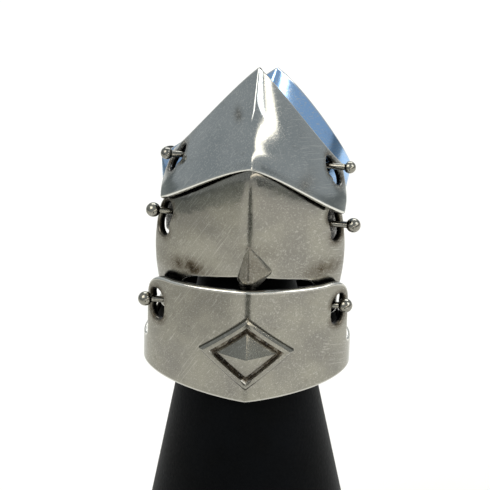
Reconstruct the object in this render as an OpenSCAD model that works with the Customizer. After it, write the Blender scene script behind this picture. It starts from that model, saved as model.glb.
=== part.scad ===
// Knuckle armor ring on a cone stand: gabled silver plates hinged one above the
// other on ball-headed pins, over a finger band that sits on a plain black cone.
// The front looks along -Y, +Z is up and the hinges run across, along X.
// Heights on the ring count from the lower rim of its band.

/* [Band] */
// Width of the base band across its sides
band_w = 23; // [21:0.5:25]
// Depth of the band's ridge in front of the finger's axis
band_front = 8.6; // [8:0.1:9.5]
// Depth of the band behind the finger's axis
band_back = 8.4; // [8:0.1:9.5]
// Height of the front shield
shield_h = 12.75; // [12.25:0.25:13]
// How far the shield's lower edge dips at its point
shield_dip = 1.1; // [0:0.1:2]
// How much lower the shield's top is at its corners than at its ridge
shoulder_drop = 0.7; // [0:0.1:1]
// How far in front of the finger's axis the shield's side edges stand
wing_y = 1.9; // [1:0.1:2.5]
// Radius of the shield's upper corners
corner_r = 3.3; // [2:0.1:4]
// Height of the band where it passes round the sides
strap_h = 3.4; // [2.5:0.1:4.5]
// Height of the band at the middle of its back
strap_back_h = 7; // [3.5:0.1:7.5]
// Radius of the step from the shield's side edges to the strap
step_r = 0.8; // [0.4:0.1:1.5]

/* [Plates] */
// Thickness of the plates and of the band
wall = 0.85; // [0.7:0.05:1]
// How far the plates' ridge stands out of their round section
ridge_rise = 1.5; // [1:0.1:2]
// Height of the middle plate's ridge above the lowest hinge
middle_h = 19.4; // [18.8:0.1:19.8]
// Height of the tip band's point above the middle hinge
tip_h = 16.9; // [16:0.1:18]
// How far the tip band's point stands out of its middle, to +X
tip_skew = 1.9; // [0.4:0.1:2.4]
// Height of the upper plate's point above the top hinge
upper_h = 11.9; // [11:0.1:13]
// Height of the gap between the shield and the middle plate's lower edge
gape = 1.2; // [0.8:0.1:1.6]
// Width of the cut in the middle plate's lower edge, between its two arms
window_w = 15.2; // [13:0.2:16]
// Radius of that cut's upper corners
window_r = 2.4; // [1:0.1:3]
// How much lower that cut is at its corners than at the ridge
window_drop = 1; // [0.5:0.1:1.2]
// Radius of the blunt keel at the foot of the middle plate's ridge
keel_r = 1.3; // [1:0.05:1.6]
// Height of the keel, up to where it runs out into the ridge
keel_h = 4.9; // [4:0.1:6]

/* [Boss] */
// Width of the lozenge boss on the shield
boss_w = 10.4; // [8:0.2:12]
// Height of the lozenge boss
boss_h = 8.8; // [7:0.2:9.5]
// How far the boss's point stands out
boss_rise = 1.6; // [1:0.1:2.5]
// Height of the boss's centre
boss_z = 5.2; // [4.8:0.1:6]

/* [Hinges] */
// Height of the lowest hinge
lower_pin_z = 8.9; // [8.6:0.1:9.2]
// Height of the middle hinge above the lowest one
middle_step = 10; // [9.8:0.1:10.3]
// Height of the top hinge above the middle one
upper_step = 6.6; // [6.3:0.1:6.9]
// Distance of the lowest hinge in front of the finger's axis
lower_pin_y = 3.6; // [3.4:0.1:3.8]
// Distance of the middle hinge in front of the finger's axis
middle_pin_y = 2.7; // [2.5:0.1:2.9]
// Distance of the top hinge in front of the finger's axis
upper_pin_y = 2; // [1.8:0.1:2.2]
// Diameter of the pins
pin_d = 0.7; // [0.6:0.05:0.8]
// Diameter of the ball heads on the lower and middle pins
ball_d = 1.6; // [1.4:0.1:1.8]
// Diameter of the ball heads on the top pins
top_ball_d = 1.35; // [1.2:0.05:1.5]
// Diameter of the lowest pins' flat heads inside the ring
head_d = 1.5; // [1.2:0.1:1.8]
// Thickness of those flat heads
head_t = 0.4; // [0.3:0.05:0.6]
// Clearance between those flat heads and the arms that they hold
head_gap = 0.1; // [0.06:0.02:0.3]
// Clearance round a pin in the plate that carries it
pin_gap = 0.04; // [0.02:0.01:0.08]
// Metal that stays round the lowest pins' bores
eye_wall = 0.25; // [0.2:0.05:0.4]
// Width of the loose slots that the pins reach through
slot_w = 2.2; // [2:0.1:2.5]
// Length of the slots in the band
lower_slot_h = 3.7; // [3.2:0.1:4]
// Length of the slots in the middle plate
middle_slot_h = 4.2; // [3.6:0.1:4.4]
// Length of the slots in the upper plate
upper_slot_h = 3.2; // [2.9:0.1:3.4]
// Metal that stays round the slots in the band
slot_edge = 0.3; // [0.2:0.05:0.5]

/* [Stand] */
// Diameter of the cone's foot
foot_d = 30; // [29:0.5:40]
// Height of the band's lower rim above the foot
ring_z = 39; // [30:1:60]
// How far the cone's blunt tip reaches above the band's lower rim
tip_above = 13; // [10:0.5:13.5]
// Radius that blunts the cone's tip
blunt_r = 2; // [1:0.25:3]
// Clearance between the band and the cone where it is seated
seat_gap = 0.3; // [0.2:0.05:0.5]

/* [Hidden] */

half_w = band_w / 2;
far = 2 * band_w;
LOWER = [-lower_pin_y, lower_pin_z];
MID = [-middle_pin_y, lower_pin_z + middle_step];
UP = [-upper_pin_y, MID[1] + upper_step];

// How each piece has settled: shift as a share of half_w, turn and lean in degrees, to +X
BASE_REST = [0.0174, 0, 1.4];
MIDDLE_REST = [0.0217, 1, 1.2];
TIP_REST = [0.035, 3, 3];
UPPER_REST = [0.0913, 5, 2.5];
// Slots: distance from the middle as a share of half_w, drop below the hinge as a share
// of slot_w, and tilt in degrees
LOWER_SLOT = [0.87, 0.227, 0];
MIDDLE_SLOT = [0.78, 0.136, 8];
UPPER_SLOT = [0.7, 0.136, 20];
// How far the slots' walls turn to the front, in degrees
SLOT_TURN = 22;
// Outer ends of the pins, left and right, and the inner ends that end in a plate, as
// shares of half_w
LOWER_ENDS = [0.985, 0.925];
MIDDLE_ENDS = [0.916, 0.98];
UPPER_ENDS = [0.816, 0.905];
MIDDLE_INSIDE = 0.36;
UPPER_INSIDE = 0.3;
// Where the rim rises behind, from strap_h to strap_back_h, as shares of band_back
STRAP_RISE = [0.25, 0.7];
// How a closed section's rim bends down behind
BACK_POWER = 1.6;
// The balls that span the keel, the last two in its low right flank: radius as a share of
// keel_r, front as a share of band_front, height from its foot as shares of keel_r and
// keel_h, and distance to +X as a share of keel_r
KEEL = [[0.25, 0.898, -1, 1, 0], [1, 0.922, -0.1, 0, 0], [0.85, 0.82, -1, 0, 0],
        [0.6, 0.88, 0, 0.42, 0.7], [0.6, 0.86, 0.5, 0, 1.4]];
KEEL_BACK = 0.72;

// Sections from the lower edge up: half angle, then half width as a share of the
// band's, ridge depth and set-back as shares of band_front, ridge height and side
// height from the plate's hinge as shares of its own height, and the edge's power.
// A closed section adds its back depth, back height and share of tip_skew.
MIDDLE = [
  [74, 0.88,  0.84,  0, -0.087, -0.087, 1],
  [76, 0.885, 0.845, 0,  0.108,  0.031, 2],
  [78, 0.92,  0.88,  0,  0.366,  0.211, 2],
  [78, 0.92,  0.91,  0,  0.649,  0.391, 1.6],
  [76, 0.87,  0.86,  0,  0.861,  0.572, 1.4],
  [62, 0.755, 0.785, 0,  0.948,  0.686, 1.4],
  [52, 0.69,  0.68,  0,  1,      0.747, 1.4],
];
UPPER = [
  [61, 1.005, 1.085, 0.035,  0.17, -0.4, 1.4],
  [68, 0.95,  1.06,  0.081,  0.37, -0.29, 1.3],
  [71, 0.895, 0.96,  0.151,  0.67, -0.16, 1.15],
  [68, 0.865, 0.709, 0.256,  1,    -0.05, 1.14],
];
TIP = [
  [180, 0.81, 0.69,  0.15, 0.065, -0.243, 1.2,  0.88, -0.379, 0],
  [180, 0.835, 0.68,  0.16, 0.361, -0.024, 1.2,  0.88, -0.278, 0.1],
  [180, 0.87, 0.66,  0.22, 0.675,  0.1,   1.15, 0.84, -0.178, 0.4],
  [180, 0.905, 0.41,  0.41, 1,      0.254, 1.18, 0.72, -0.083, 1],
];
// The boss from its rim inwards: size as a share of its outline, height as a share of boss_rise
BOSS = [[1, 0.3], [0.92, 0.42], [0.8, 0.42], [0.74, 0.14], [0.66, 0.14], [0.6, 0.38]];

function spline(a, b, c, d, f) =
  0.5 * (2 * b + (c - a) * f + (2 * a - 5 * b + 4 * c - d) * f * f
         + (3 * b - a - 3 * c + d) * f * f * f);

// One section of a table, a share u of the way from its first row to its last
function row_at(rows, u) =
  let (n = len(rows) - 1, i = min(floor(u * n), n - 1))
  spline(i > 0 ? rows[i - 1] : 2 * rows[i] - rows[i + 1], rows[i], rows[i + 1],
         i + 2 <= n ? rows[i + 2] : 2 * rows[i + 1] - rows[i], u * n - i);

// The gabled plan that every plate shares: half width, ridge depth and back depth
function plan(w, front, back, t) =
  [w * sin(t), cos(t) >= 0 ? -(front - ridge_rise) * cos(t) - ridge_rise * (1 - abs(sin(t))) : -back * cos(t)];

// A point of a plate's outer skin: s runs across from -1 to 1, u from the lower edge up
function skin(rows, hinge_z, height, s, u) =
  let (r = row_at(rows, u), t = s * r[0], q = abs(sin(t)),
       p = plan(r[1] * half_w, r[2] * band_front, cos(t) < 0 ? r[7] * band_back : 0, t))
  [p[0] + (len(r) > 9 ? r[9] * tip_skew * max(cos(t), 0) : 0), p[1] + r[3] * band_front,
   cos(t) >= 0 ? hinge_z + r[4] * height + (r[5] - r[4]) * height * pow(q / sin(min(r[0], 90)), r[6])
               : hinge_z + r[8] * height + (r[5] - r[8]) * height * pow(q, BACK_POWER)];

// The same point at a depth d below the skin
function inner(rows, hinge_z, height, s, u, d) =
  let (e = 0.01, open = rows[0][0] < 180, top = open ? 1 : 2,
       across = skin(rows, hinge_z, height, min(s + e, top), u) - skin(rows, hinge_z, height, max(s - e, -top), u),
       upward = skin(rows, hinge_z, height, s, min(u + e, 1)) - skin(rows, hinge_z, height, s, max(u - e, 0)),
       n = cross(across, upward))
  skin(rows, hinge_z, height, s, u) - d * n / norm(n);

// A shell of even thickness, open at its two sides
module open_shell(rows, hinge_z, height, across, up) {
  w = across + 1;
  m = w * (up + 1);
  polyhedron([for (d = [0, wall], j = [0:up], i = [0:across])
                inner(rows, hinge_z, height, 2 * i / across - 1, j / up, d)], [
    for (j = [0:up - 1], i = [0:across - 1]) let (a = j * w + i)
      each [[a, a + w, a + w + 1], [a, a + w + 1, a + 1],
            [m + a, m + a + w + 1, m + a + w], [m + a, m + a + 1, m + a + w + 1]],
    for (i = [0:across - 1]) let (a = i, b = up * w + i)
      each [[a, a + 1, m + a + 1], [a, m + a + 1, m + a],
            [b, m + b, m + b + 1], [b, m + b + 1, b + 1]],
    for (j = [0:up - 1]) let (a = j * w, b = j * w + across)
      each [[a, m + a, m + a + w], [a, m + a + w, a + w],
            [b, b + w, m + b + w], [b, m + b + w, m + b]],
  ]);
}

// A shell of even thickness that closes round the finger
module closed_shell(rows, hinge_z, height, round, up) {
  m = round * (up + 1);
  polyhedron([for (d = [0, wall], j = [0:up], i = [0:round - 1])
                inner(rows, hinge_z, height, 2 * i / round - 1, j / up, d)], [
    for (j = [0:up - 1], i = [0:round - 1]) let (a = j * round + i, b = j * round + (i + 1) % round)
      each [[a, a + round, b + round], [a, b + round, b],
            [m + a, m + b + round, m + a + round], [m + a, m + b, m + b + round]],
    for (i = [0:round - 1]) let (k = (i + 1) % round, b = up * round)
      each [[i, k, m + k], [i, m + k, m + i],
            [b + i, m + b + i, m + b + k], [b + i, m + b + k, b + k]],
  ]);
}

// Leans and turns a piece about its hinge line, the way it has settled
module settled(rest, at) {
  translate([rest[0] * half_w, at[0], at[1] + ring_z])
    rotate([0, rest[2], -rest[1]])
      translate([0, -at[0], -at[1]])
        children();
}

// A pair of oval slots, whose walls are square to the plate near the hinge line
module slots(at, length, place, more = 0) {
  deep = half_w * 0.8;
  for (side = [-1, 1])
    translate([side * half_w * place[0], at[0], at[1] - slot_w * place[1]])
      rotate([0, 90, -side * SLOT_TURN])
        rotate([0, 0, place[2]]) {
          cube([length - slot_w, slot_w + 2 * more, deep], center = true);
          for (end = [-1, 1])
            translate([end * (length - slot_w) / 2, 0, 0])
              cylinder(h = deep, d = slot_w + 2 * more, center = true, $fn = 48);
        }
}

module bore(at, more = 0) {
  translate([0, at[0], at[1]])
    rotate([0, 90, 0])
      cylinder(h = far, d = pin_d + 2 * (pin_gap + more), center = true, $fn = 48);
}

// A pin with a ball outside the plates, its inner end just through the wall that holds it
module pin(at, side, inside, ends, ball) {
  outside = half_w * (side < 0 ? ends[0] : ends[1]);
  translate([0, at[0], at[1]])
    rotate([0, side * 90, 0]) {
      translate([0, 0, inside])
        cylinder(h = outside - inside, d = pin_d, $fn = 48);
      translate([0, 0, outside])
        sphere(d = ball, $fn = 48);
    }
}

function arc(centre, r, from, to) =
  [for (i = [0:6]) centre + r * [cos(from + (to - from) * i / 6), sin(from + (to - from) * i / 6)]];

module band_ring() {
  translate([0, 0, -shield_dip])
    linear_extrude(shield_h + shield_dip)
      difference() {
        polygon([for (i = [0:71]) plan(half_w, band_front, band_back, 5 * i)]);
        polygon([for (i = [0:71]) plan(half_w - wall, band_front - wall, band_back - wall, 5 * i)]);
      }
}

// What the lower rim leaves out: a shallow point in front, level behind
module below_rim() {
  rotate([90, 0, 0])
    linear_extrude(far)
      polygon([[-far, -far], [-far, shield_dip * (far / half_w - 1)], [0, -shield_dip],
               [far, shield_dip * (far / half_w - 1)], [far, -far]]);
  translate([-far, 0, -far])
    cube([2 * far, far, far]);
}

// What the side outline leaves out above the strap and behind the shield
module behind_shield() {
  rotate([90, 0, 90])
    linear_extrude(2 * far, center = true)
      polygon(concat(
        [[-band_front, shield_h]],
        arc([-wing_y - corner_r, shield_h - shoulder_drop - corner_r], corner_r, 90, 0),
        arc([step_r - wing_y, strap_h + step_r], step_r, 180, 270),
        [[band_back * STRAP_RISE[0], strap_h], [band_back * STRAP_RISE[1], strap_back_h],
         [far, strap_back_h], [far, far], [-band_front, far]]));
}

// A lozenge of flat bevels that follows the shield's gable, its foot sunk in the wall
module boss() {
  n = 24;
  rings = concat([[1, -wall / 2 / boss_rise]], BOSS);
  function edge(i) = let (f = 4 * i / n) [1 - abs(f % 4 < 2 ? f : 4 - f), abs((f + 1) % 4 - 2) - 1];
  function raised(x, z, h) = [x, plan(half_w, band_front, 0, asin(x / half_w))[1] - h, boss_z + z];
  pts = [for (r = rings, i = [0:n - 1]) let (p = edge(i))
           raised(r[0] * boss_w / 2 * p[0], r[0] * boss_h / 2 * p[1], r[1] * boss_rise)];
  last = n * (len(rings) - 1);
  polyhedron(concat(pts, [raised(0, 0, -wall / 2), raised(0, 0, boss_rise)]), [
    for (k = [0:len(rings) - 2], i = [0:n - 1]) let (a = k * n + i, b = k * n + (i + 1) % n)
      each [[a, b, b + n], [a, b + n, a + n]],
    for (i = [0:n - 1]) [len(pts), (i + 1) % n, i],
    for (i = [0:n - 1]) [len(pts) + 1, last + i, last + (i + 1) % n],
  ]);
}

module base_band() {
  color("silver")
    settled(BASE_REST, LOWER)
      difference() {
        union() {
          difference() {
            band_ring();
            below_rim();
            difference() {
              behind_shield();
              slots(LOWER, lower_slot_h, LOWER_SLOT, slot_edge);
            }
          }
          boss();
        }
        slots(LOWER, lower_slot_h, LOWER_SLOT);
      }
}

// The blunt keel at the foot of the ridge, flat behind
module keel() {
  foot = shield_h + gape;
  difference() {
    hull()
      for (k = KEEL)
        translate([k[4] * keel_r, k[0] * keel_r - k[1] * band_front, foot + k[2] * keel_r + k[3] * keel_h])
          sphere(r = k[0] * keel_r, $fn = 32);
    translate([-far, -KEEL_BACK * band_front, 0])
      cube([2 * far, far, far]);
  }
}

// The cut in the lower edge, with a shallow gable like the shield's
module window() {
  foot = shield_h + gape;
  corner = foot - window_drop - window_r;
  rotate([90, 0, 0])
    linear_extrude(far)
      hull() {
        polygon([[-window_w / 2, 0], [window_w / 2, 0], [window_w / 2, corner], [0, foot],
                 [-window_w / 2, corner]]);
        for (side = [-1, 1])
          translate([side * (window_w / 2 - window_r), corner])
            circle(r = window_r, $fn = 48);
      }
}

module middle_plate() {
  color("silver")
    settled(MIDDLE_REST, LOWER) {
      difference() {
        open_shell(MIDDLE, LOWER[1], middle_h, 28, 12);
        difference() {
          window();
          bore(LOWER, eye_wall);
        }
        slots(MID, middle_slot_h, MIDDLE_SLOT);
        bore(LOWER);
      }
      keel();
    }
}

module tip_band() {
  color("lightsteelblue")
    settled(TIP_REST, MID)
      difference() {
        closed_shell(TIP, MID[1], tip_h, 56, 6);
        bore(MID);
        bore(UP);
      }
}

module upper_plate() {
  color("gainsboro")
    settled(UPPER_REST, UP)
      difference() {
        open_shell(UPPER, UP[1], upper_h, 28, 6);
        slots(UP, upper_slot_h, UPPER_SLOT);
      }
}

module stand_cone() {
  // The band's depth at its lower rim is what the cone seats
  seat_r = (band_front + band_back) / 2 - wall - seat_gap;
  taper = (foot_d / 2 - seat_r) / ring_z;
  top = ring_z + tip_above;
  tip_r = seat_r - taper * tip_above;
  color("#202428")
    rotate_extrude($fn = 96)
      polygon(concat([[0, 0], [foot_d / 2, 0], [tip_r + taper * blunt_r, top - blunt_r]],
                     arc([tip_r - blunt_r, top - blunt_r], blunt_r, 15, 90), [[0, top]]));
}

module lower_pin(side) {
  // The flat head clears the eye's innermost point
  eye_r = pin_d / 2 + pin_gap + eye_wall;
  inside = min([for (s = [0.3:0.01:1], u = [0.05, 0.1])
                  let (p = inner(MIDDLE, LOWER[1], middle_h, s, u, wall))
                  if (abs(p[1] - LOWER[0]) < eye_r) p[0]]) - head_gap;
  color("silver")
    settled(MIDDLE_REST, LOWER)
      union() {
        pin(LOWER, side, inside, LOWER_ENDS, ball_d);
        translate([side * inside, LOWER[0], LOWER[1]])
          rotate([0, -side * 90, 0])
            cylinder(h = head_t, d = head_d, $fn = 48);
      }
}

module middle_pin(side) {
  color("silver")
    settled(TIP_REST, MID)
      pin(MID, side, MIDDLE_INSIDE * half_w, MIDDLE_ENDS, ball_d);
}

module upper_pin(side) {
  color("silver")
    settled(TIP_REST, MID)
      pin(UP, side, UPPER_INSIDE * half_w, UPPER_ENDS, top_ball_d);
}

stand_cone();
base_band();
middle_plate();
tip_band();
upper_plate();
lower_pin(-1);  // pin_lower_left
lower_pin(1);  // pin_lower_right
middle_pin(-1);  // pin_middle_left
middle_pin(1);  // pin_middle_right
upper_pin(-1);  // pin_upper_left
upper_pin(1);  // pin_upper_right
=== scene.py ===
import functools
import math
import bpy
import bmesh
import numpy as np
from mathutils import Matrix, Vector
from mathutils.geometry import delaunay_2d_cdt
from mathutils.kdtree import KDTree

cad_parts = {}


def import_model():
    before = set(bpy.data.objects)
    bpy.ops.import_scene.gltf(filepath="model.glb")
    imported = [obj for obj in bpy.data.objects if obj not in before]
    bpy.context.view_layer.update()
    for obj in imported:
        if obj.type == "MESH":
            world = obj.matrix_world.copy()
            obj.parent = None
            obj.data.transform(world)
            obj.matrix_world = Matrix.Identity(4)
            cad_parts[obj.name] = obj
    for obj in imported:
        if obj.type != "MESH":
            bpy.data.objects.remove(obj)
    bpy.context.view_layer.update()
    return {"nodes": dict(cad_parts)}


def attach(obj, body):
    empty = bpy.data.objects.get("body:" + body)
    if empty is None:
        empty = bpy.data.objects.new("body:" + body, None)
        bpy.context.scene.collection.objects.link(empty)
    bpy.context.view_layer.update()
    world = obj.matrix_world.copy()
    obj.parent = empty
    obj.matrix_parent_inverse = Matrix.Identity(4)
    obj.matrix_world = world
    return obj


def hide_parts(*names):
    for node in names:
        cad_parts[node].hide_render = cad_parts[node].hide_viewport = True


# Knuckle armor ring on its cone stand. Lengths below are in millimetres and heights on
# the ring count from the band's lower rim, as in the part's source; meshes are in metres.

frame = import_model()
mm = 0.001
print("frame loaded:", len(frame["nodes"]), "CAD nodes")

ring = {
    "halfWidth": 11.5,       # half the band's width
    "front": 8.6,            # ridge in front of the finger's axis
    "back": 8.4,
    "ridgeRise": 1.5,        # how far the gable's ridge stands out of the round section
    "ridgeSoftness": 0.035,  # rounds the ridge's edge, as a share of the half width
    "rimZ": 39.0,            # height of the band's lower rim above the foot
    "wall": 0.85,
    "edgeRadius": 0.24,      # rounds the rims of every sheet
    "slotTurn": 22.0,        # degrees that each slot's face is turned forward from its side
    "pinHole": 0.39,         # radius of the pins' bores
}
hinges = {  # y and z of each hinge line before the plates settle
    "lower": (-3.6, 8.9),
    "middle": (-2.7, 18.9),
    "upper": (-2.0, 25.5),
}
camera = {
    "aim": (-0.17, 0.0, 53.08),
    "distance": 350.0,
    "elevation": 27.5,
    "azimuth": 1.0,
    "lens": 233.7,
}


def aimCamera(spec):
    data = bpy.data.cameras.new("photoCamera")
    data.lens, data.sensor_width = spec["lens"], 36.0
    data.clip_start, data.clip_end = 0.01, 20.0
    eye = bpy.data.objects.new("photoCamera", data)
    bpy.context.scene.collection.objects.link(eye)
    el, az = math.radians(spec["elevation"]), math.radians(spec["azimuth"])
    back = Vector((math.sin(az) * math.cos(el), -math.cos(az) * math.cos(el), math.sin(el)))
    eye.location = (Vector(spec["aim"]) + back * spec["distance"]) * mm
    eye.rotation_mode = "QUATERNION"
    eye.rotation_quaternion = (-back).to_track_quat("-Z", "Y")
    bpy.context.scene.camera = eye


aimCamera(camera)
print("camera set")


def turnTable(angleZ, angleY):
    # the matrix that tips by angleY and then turns by angleZ, in degrees
    z, y = math.radians(angleZ), math.radians(angleY)
    rz = np.array([[math.cos(z), -math.sin(z), 0], [math.sin(z), math.cos(z), 0], [0, 0, 1]])
    ry = np.array([[math.cos(y), 0, math.sin(y)], [0, 1, 0], [-math.sin(y), 0, math.cos(y)]])
    return rz @ ry


def settleTurn(rest):
    # rest is a settled plate's shift to +X, turn and lean in degrees
    return turnTable(-rest[1], rest[2]).T


def settle(points, rest, hinge):
    # moves points as their plate has settled about its hinge line
    at = np.array([0.0, hinge[0], hinge[1]])
    return (points - at) @ settleTurn(rest) + (rest[0], hinge[0], hinge[1] + ring["rimZ"])


def spline(a, b, c, d, f):
    return 0.5 * (2 * b + (c - a) * f + (2 * a - 5 * b + 4 * c - d) * f * f
                  + (3 * b - a - 3 * c + d) * f * f * f)


def rowAt(rows, u):
    # the section a share u of the way up a plate's table, columns first
    rows = np.asarray(rows, float)
    full = np.vstack([2 * rows[0] - rows[1], rows, 2 * rows[-1] - rows[-2]])
    n = len(rows) - 1
    i = np.minimum(np.floor(u * n).astype(int), n - 1)
    f = (u * n - i)[:, None]
    return spline(full[i], full[i + 1], full[i + 2], full[i + 3], f).T


def gabledPlan(width, front, back, t):
    soft = np.minimum(np.sqrt(np.sin(t) ** 2 + ring["ridgeSoftness"] ** 2), 1)
    ahead = -(front - ring["ridgeRise"]) * np.cos(t) - ring["ridgeRise"] * (1 - soft)
    return width * np.sin(t), np.where(np.cos(t) >= 0, ahead, -back * np.cos(t))


def plateSkin(spec):
    # a plate's outer skin as a function of across (-1 to 1) and up (0 to 1)
    rows, hingeZ, tall = spec["rows"], spec["hinge"][1], spec["height"]

    def skin(s, u):
        span, width, front, shift, ridge, ends, power, *closing = rowAt(rows, u)
        t = np.radians(s * span)
        q = np.abs(np.sin(t))
        behind = closing[0] * ring["back"] if closing else 0
        x, y = gabledPlan(width * ring["halfWidth"], front * ring["front"], behind, t)
        half = np.sin(np.radians(np.minimum(span, 90)))
        z = ridge * tall + (ends - ridge) * tall * (q / half) ** power
        if closing:
            rear, skew = closing[1] * tall, closing[2] * spec["skew"]
            x = x + skew * np.maximum(np.cos(t), 0)
            rearZ = rear + (ends * tall - rear) * q ** spec["rearPower"]
            z = np.where(np.cos(t) >= 0, z, rearZ)
        return np.stack([x, y + shift * ring["front"], hingeZ + z], 1)

    return skin


def bandSkin(s, u):
    # the band's outer skin: s is half a turn to each side, u counts millimetres up
    t = s * math.pi
    x, y = gabledPlan(ring["halfWidth"], ring["front"], ring["back"], t)
    return np.stack([x, y, u], 1)


def slopes(skin, a, b, spec):
    # how a skin runs across and up, from one side only where it ends
    step, low, high = spec["step"], spec["low"], spec["high"]
    a0, a1 = np.maximum(a - step[0], low[0]), np.minimum(a + step[0], high[0])
    b0, b1 = np.maximum(b - step[1], low[1]), np.minimum(b + step[1], high[1])
    da = (skin(a1, b) - skin(a0, b)) / (a1 - a0)[:, None]
    db = (skin(a, b1) - skin(a, b0)) / (b1 - b0)[:, None]
    return da, db


def solveOn(skin, view, targets, start, spec, rounds=25, stride=0.2):
    # finds where a skin, seen through view(), meets each target point
    a = np.full(len(targets), start[0], float)
    b = np.full(len(targets), start[1], float)
    for _ in range(rounds):
        da, db = slopes(skin, a, b, spec)
        here = view(skin(a, b))
        ja, jb = view(skin(a, b) + da) - here, view(skin(a, b) + db) - here
        miss = targets - here
        det = ja[:, 0] * jb[:, 1] - ja[:, 1] * jb[:, 0]
        across = (miss[:, 0] * jb[:, 1] - miss[:, 1] * jb[:, 0]) / det
        a = a + np.clip(across, -stride, stride)
        b = b + (ja[:, 0] * miss[:, 1] - ja[:, 1] * miss[:, 0]) / det
    return np.stack([a, b], 1)


def finer(path, count):
    # puts more points on each leg of a path, as many as count() says of the leg
    out = [p + (q - p) * np.linspace(0, 1, count(q - p), endpoint=False)[:, None]
           for p, q in zip(path[:-1], path[1:])]
    return np.vstack(out + [path[-1:]])


def evenly(skin, path, gap, closed=True):
    # resamples a path on the skin at even spacing in space, by way of a dense one with
    # about 400 points to each unit across or up
    path = np.asarray(path, float)
    if closed:
        path = np.vstack([path, path[:1]])
    dense = finer(path, lambda leg: max(2, int(np.abs(leg).max() * 400) + 2))
    at = skin(dense[:, 0], dense[:, 1])
    run = np.concatenate([[0], np.cumsum(np.linalg.norm(np.diff(at, axis=0), axis=1))])
    count = max(8, int(round(run[-1] / gap)))
    want = np.linspace(0, run[-1], count + 1)
    out = np.stack([np.interp(want, run, dense[:, k]) for k in (0, 1)], 1)
    return out[:-1] if closed else out


def rounded(path, sharp, radius, skin):
    # replaces the corners named in sharp by short curves
    path = [np.asarray(p, float) for p in path]

    def towards(p, q):
        length = np.linalg.norm(skin(*q[:, None]) - skin(*p[:, None]))
        return p + (q - p) * min(0.45, radius / length)

    out = []
    for i, p in enumerate(path):
        if i in sharp:
            a, c = towards(p, path[i - 1]), towards(p, path[(i + 1) % len(path)])
            out += [a * (1 - f) ** 2 + 2 * p * f * (1 - f) + c * f * f
                    for f in np.linspace(0, 1, 9)]
        else:
            out.append(p)
    return out


def arcPoints(y, z, r, fromAngle, toAngle, n=14):
    a = np.radians(np.linspace(fromAngle, toAngle, n))
    return [(y + r * math.cos(v), z + r * math.sin(v)) for v in a]


def clockwise(path):
    p, q = path, np.roll(path, -1, 0)
    area = (p[:, 0] * q[:, 1] - q[:, 0] * p[:, 1]).sum()
    return path if area < 0 else path[::-1]


def insideLoops(points, loops):
    # even-odd test of points against closed loops
    x, y = points[:, 0], points[:, 1]
    hit = np.zeros(len(points), bool)
    for loop in loops:
        for (x0, y0), (x1, y1) in zip(loop, np.roll(loop, -1, 0)):
            if y0 != y1:
                crosses = (y0 > y) != (y1 > y)
                hit ^= crosses & (x < (x1 - x0) * (y - y0) / (y1 - y0) + x0)
    return hit


def treeOf(points):
    tree = KDTree(len(points))
    for i, p in enumerate(points.tolist()):
        tree.insert(p, i)
    tree.balance()
    return tree


def distances(to, points):
    tree = treeOf(to)
    return np.array([tree.find(p)[2] for p in points.tolist()])


wearReach = 6.0   # mm, distances from a rim or a hole are kept up to this
grimeAndPaintedShadeEnds = 2.0   # y behind which the patches of grime and of painted shade fade


def buildMesh(name, points, faces, attributes=None, outward=False):
    # outward says that the faces look outwards already
    mesh = bpy.data.meshes.new(name)
    mesh.from_pydata((np.asarray(points) * mm).tolist(), [], faces)
    mesh.validate()
    if not outward:
        work = bmesh.new()
        work.from_mesh(mesh)
        bmesh.ops.recalc_face_normals(work, faces=work.faces)
        work.to_mesh(mesh)
        work.free()
    mesh.polygons.foreach_set("use_smooth", [True] * len(mesh.polygons))
    plain = dict.fromkeys(("rimDistance", "holeDistance"), [wearReach] * len(mesh.vertices))
    for key, values in {**plain, **(attributes or {})}.items():
        layer = mesh.attributes.new(key, "FLOAT", "POINT")
        layer.data.foreach_set("value", np.asarray(values, np.float32))
    piece = bpy.data.objects.new(name, mesh)
    bpy.context.scene.collection.objects.link(piece)
    return piece


def setNormals(piece, normals):
    piece.data.normals_split_custom_set_from_vertices(np.asarray(normals).tolist())


def openEdges(mesh):
    use = {}
    for p in mesh.polygons:
        for k in p.edge_keys:
            use[k] = use.get(k, 0) + 1
    return sum(1 for e in use.values() if e != 2)


rimShares = [0, 0.3, 0.6, 1]   # rows of points over a rim's rounding, as shares of its radius


def rimRows(skin, spec, path, closed):
    # the rows inwards from a rim: places on the skin, how deep each lies below it, and
    # how far its normal points out of the sheet's edge
    if closed:
        along = np.roll(path, -1, 0) - np.roll(path, 1, 0)
    else:
        longer = np.vstack([2 * path[:1] - path[1:2], path, 2 * path[-1:] - path[-2:-1]])
        along = longer[2:] - longer[:-2]
        along[[0, -1], 1] = 0
    da, db = slopes(skin, path[:, 0], path[:, 1], spec)
    aa, ab, bb = (da * da).sum(1), (da * db).sum(1), (db * db).sum(1)
    left = np.stack([-along[:, 1], along[:, 0]], 1)
    inward = np.stack([bb * left[:, 0] - ab * left[:, 1],
                       aa * left[:, 1] - ab * left[:, 0]], 1) / (aa * bb - ab ** 2)[:, None]
    if not closed:
        inward[[0, -1], 0] = 0
    space = inward[:, :1] * da + inward[:, 1:] * db
    size = np.linalg.norm(space, axis=1)[:, None]
    inward, space = inward / size, space / size
    radius = ring["edgeRadius"]
    rows = []
    for share in rimShares:
        turn = math.acos(1 - share)
        rows.append((path + inward * share * radius,
                     np.full(len(path), radius * (1 - math.sin(turn))),
                     -space * math.cos(turn)))
    return rows


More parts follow.
